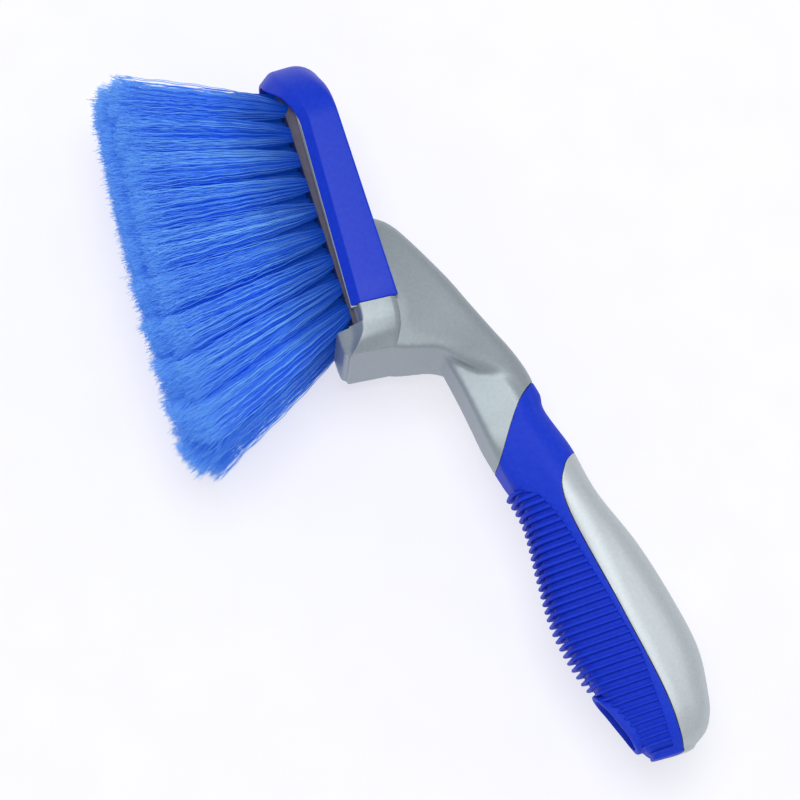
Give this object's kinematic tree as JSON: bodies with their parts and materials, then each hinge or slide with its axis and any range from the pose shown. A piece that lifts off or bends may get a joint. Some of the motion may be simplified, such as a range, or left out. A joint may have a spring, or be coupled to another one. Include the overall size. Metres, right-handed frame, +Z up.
{
  "type": "wheel brush",
  "caption": "Short-handled wheel-washing brush with flared soft bristles, a rubber-banded head, a raked neck and a ribbed grip with a hang hole.",
  "frame": {"origin": "middle of the underside of the brush's box, as it lies on its side", "axes": "+X from the bristle tips to the back of the head, +Y from the handle to the round end of the head, +Z up, across the brush"},
  "size_m": [0.1572, 0.294, 0.0835],
  "materials": {
    "silver_moulding": "satin silver-grey polypropylene",
    "silver_cover": "satin silver polypropylene",
    "grip_rubber": "matt blue thermoplastic rubber",
    "bumper_rubber": "matt blue thermoplastic rubber",
    "tuft_block": "plain grey polypropylene",
    "anchor_wire": "flat galvanised wire",
    "bristles": "blue crimped filaments with flagged tips"
  },
  "bodies": {
    "root": {"handle_body": "silver_moulding", "back_cover": "silver_cover", "grip_sleeve": "grip_rubber", "head_bumper": "bumper_rubber", "tuft_block": "tuft_block", "tuft_anchors": "anchor_wire", "tuft_01": "bristles", "tuft_02": "bristles", "tuft_03": "bristles", "tuft_04": "bristles", "tuft_05": "bristles", "tuft_06": "bristles", "tuft_07": "bristles", "tuft_08": "bristles", "tuft_09": "bristles", "tuft_10": "bristles", "tuft_11": "bristles", "tuft_12": "bristles", "tuft_13": "bristles", "tuft_14": "bristles", "tuft_15": "bristles", "tuft_16": "bristles", "tuft_17": "bristles", "tuft_18": "bristles", "tuft_19": "bristles", "tuft_20": "bristles", "tuft_21": "bristles", "tuft_22": "bristles", "tuft_23": "bristles", "tuft_24": "bristles", "tuft_25": "bristles", "tuft_26": "bristles", "tuft_27": "bristles", "tuft_28": "bristles", "tuft_29": "bristles", "tuft_30": "bristles", "tuft_31": "bristles", "tuft_32": "bristles", "tuft_33": "bristles", "tuft_34": "bristles", "tuft_35": "bristles", "tuft_36": "bristles", "tuft_37": "bristles", "tuft_38": "bristles", "tuft_39": "bristles", "tuft_40": "bristles", "tuft_41": "bristles", "tuft_42": "bristles", "tuft_43": "bristles", "tuft_44": "bristles", "tuft_45": "bristles", "tuft_46": "bristles"}
  },
  "joints": []
}
